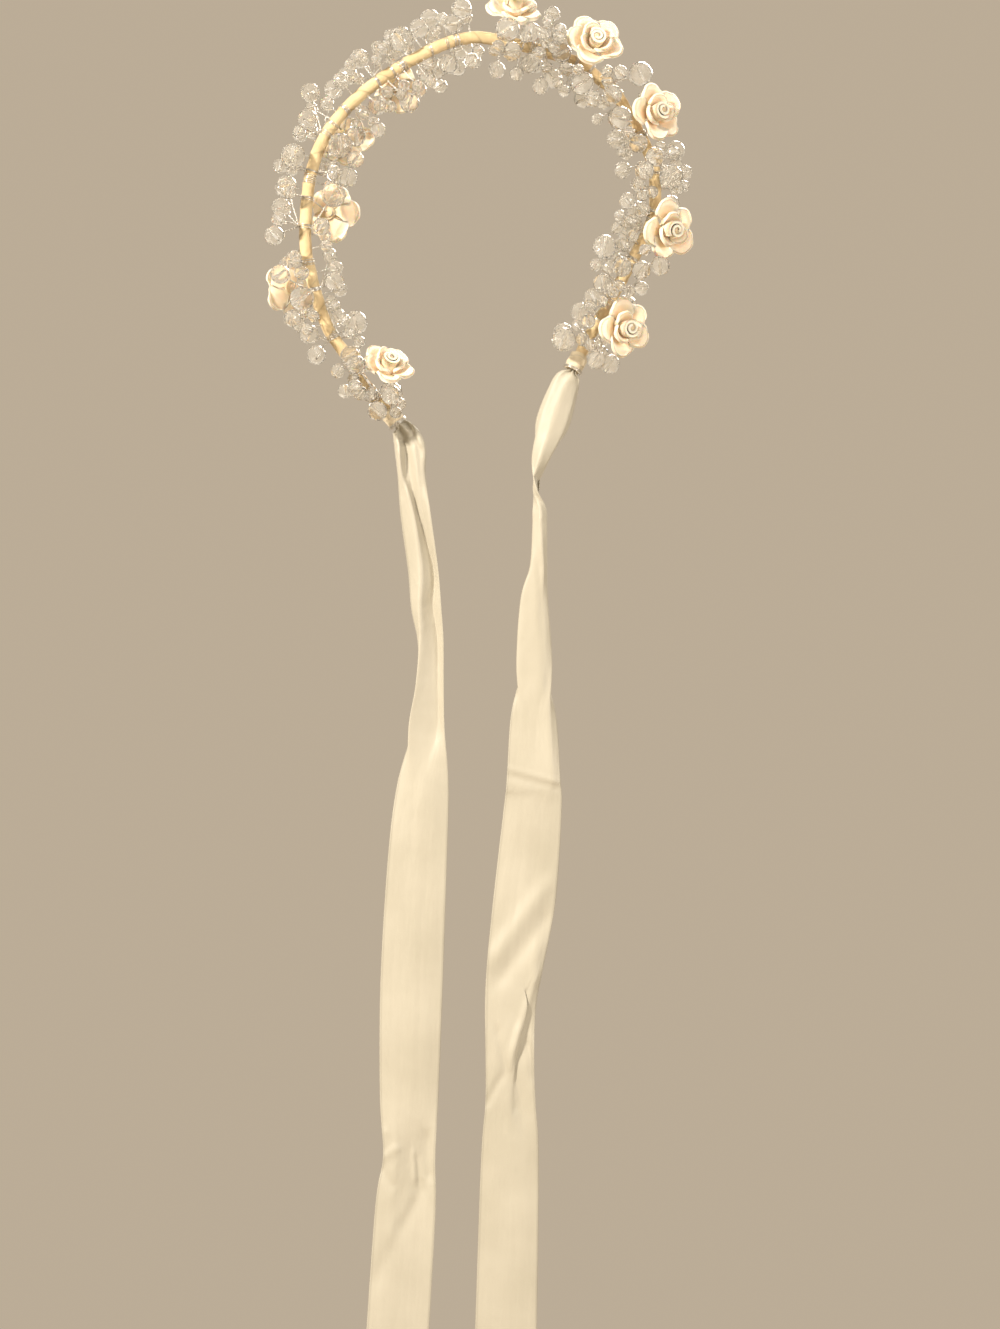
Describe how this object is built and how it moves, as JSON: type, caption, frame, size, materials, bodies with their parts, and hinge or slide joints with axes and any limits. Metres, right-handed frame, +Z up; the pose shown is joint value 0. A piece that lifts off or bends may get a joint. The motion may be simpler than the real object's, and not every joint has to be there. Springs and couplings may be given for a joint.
{
  "type": "halo headband",
  "caption": "Open bridal halo of wrapped wire with clay roses, sprays of clear faceted beads on wire and a long satin ribbon bound to each end.",
  "frame": {"origin": "the underside of the hoop's crown, where the halo hangs", "axes": "+Z up, +X to the viewer's right and -Y towards the viewer; the hoop's plane is turned 11 degrees about Z from the XZ plane, its left side nearer the viewer"},
  "size_m": [0.1743, 0.0462, 0.5567],
  "materials": {
    "tape": "matt cloth tape wound round wire",
    "satin": "ivory satin with a soft sheen",
    "clay": "matt unglazed ivory clay",
    "crystal": "clear faceted beads"
  },
  "bodies": {
    "root": {"bead_spray_01": "crystal", "bead_spray_02": "crystal", "bead_spray_03": "crystal", "bead_spray_04": "crystal", "bead_spray_05": "crystal", "bead_spray_06": "crystal", "bead_spray_07": "crystal", "bead_spray_08": "crystal", "bead_spray_09": "crystal", "bead_spray_10": "crystal", "bead_spray_11": "crystal", "bead_spray_12": "crystal", "bead_spray_13": "crystal", "bead_spray_14": "crystal", "bead_spray_15": "crystal", "bead_spray_16": "crystal", "bead_spray_17": "crystal", "bead_spray_18": "crystal", "end_binding_left": "tape", "end_binding_right": "tape", "hoop": "tape", "ribbon_left": "satin", "ribbon_right": "satin", "rose_01": "clay", "rose_02": "clay", "rose_03": "clay", "rose_04": "clay", "rose_05": "clay", "rose_06": "clay", "rose_07": "clay", "rose_08": "clay", "rose_09": "clay", "rose_10": "clay"}
  },
  "joints": []
}
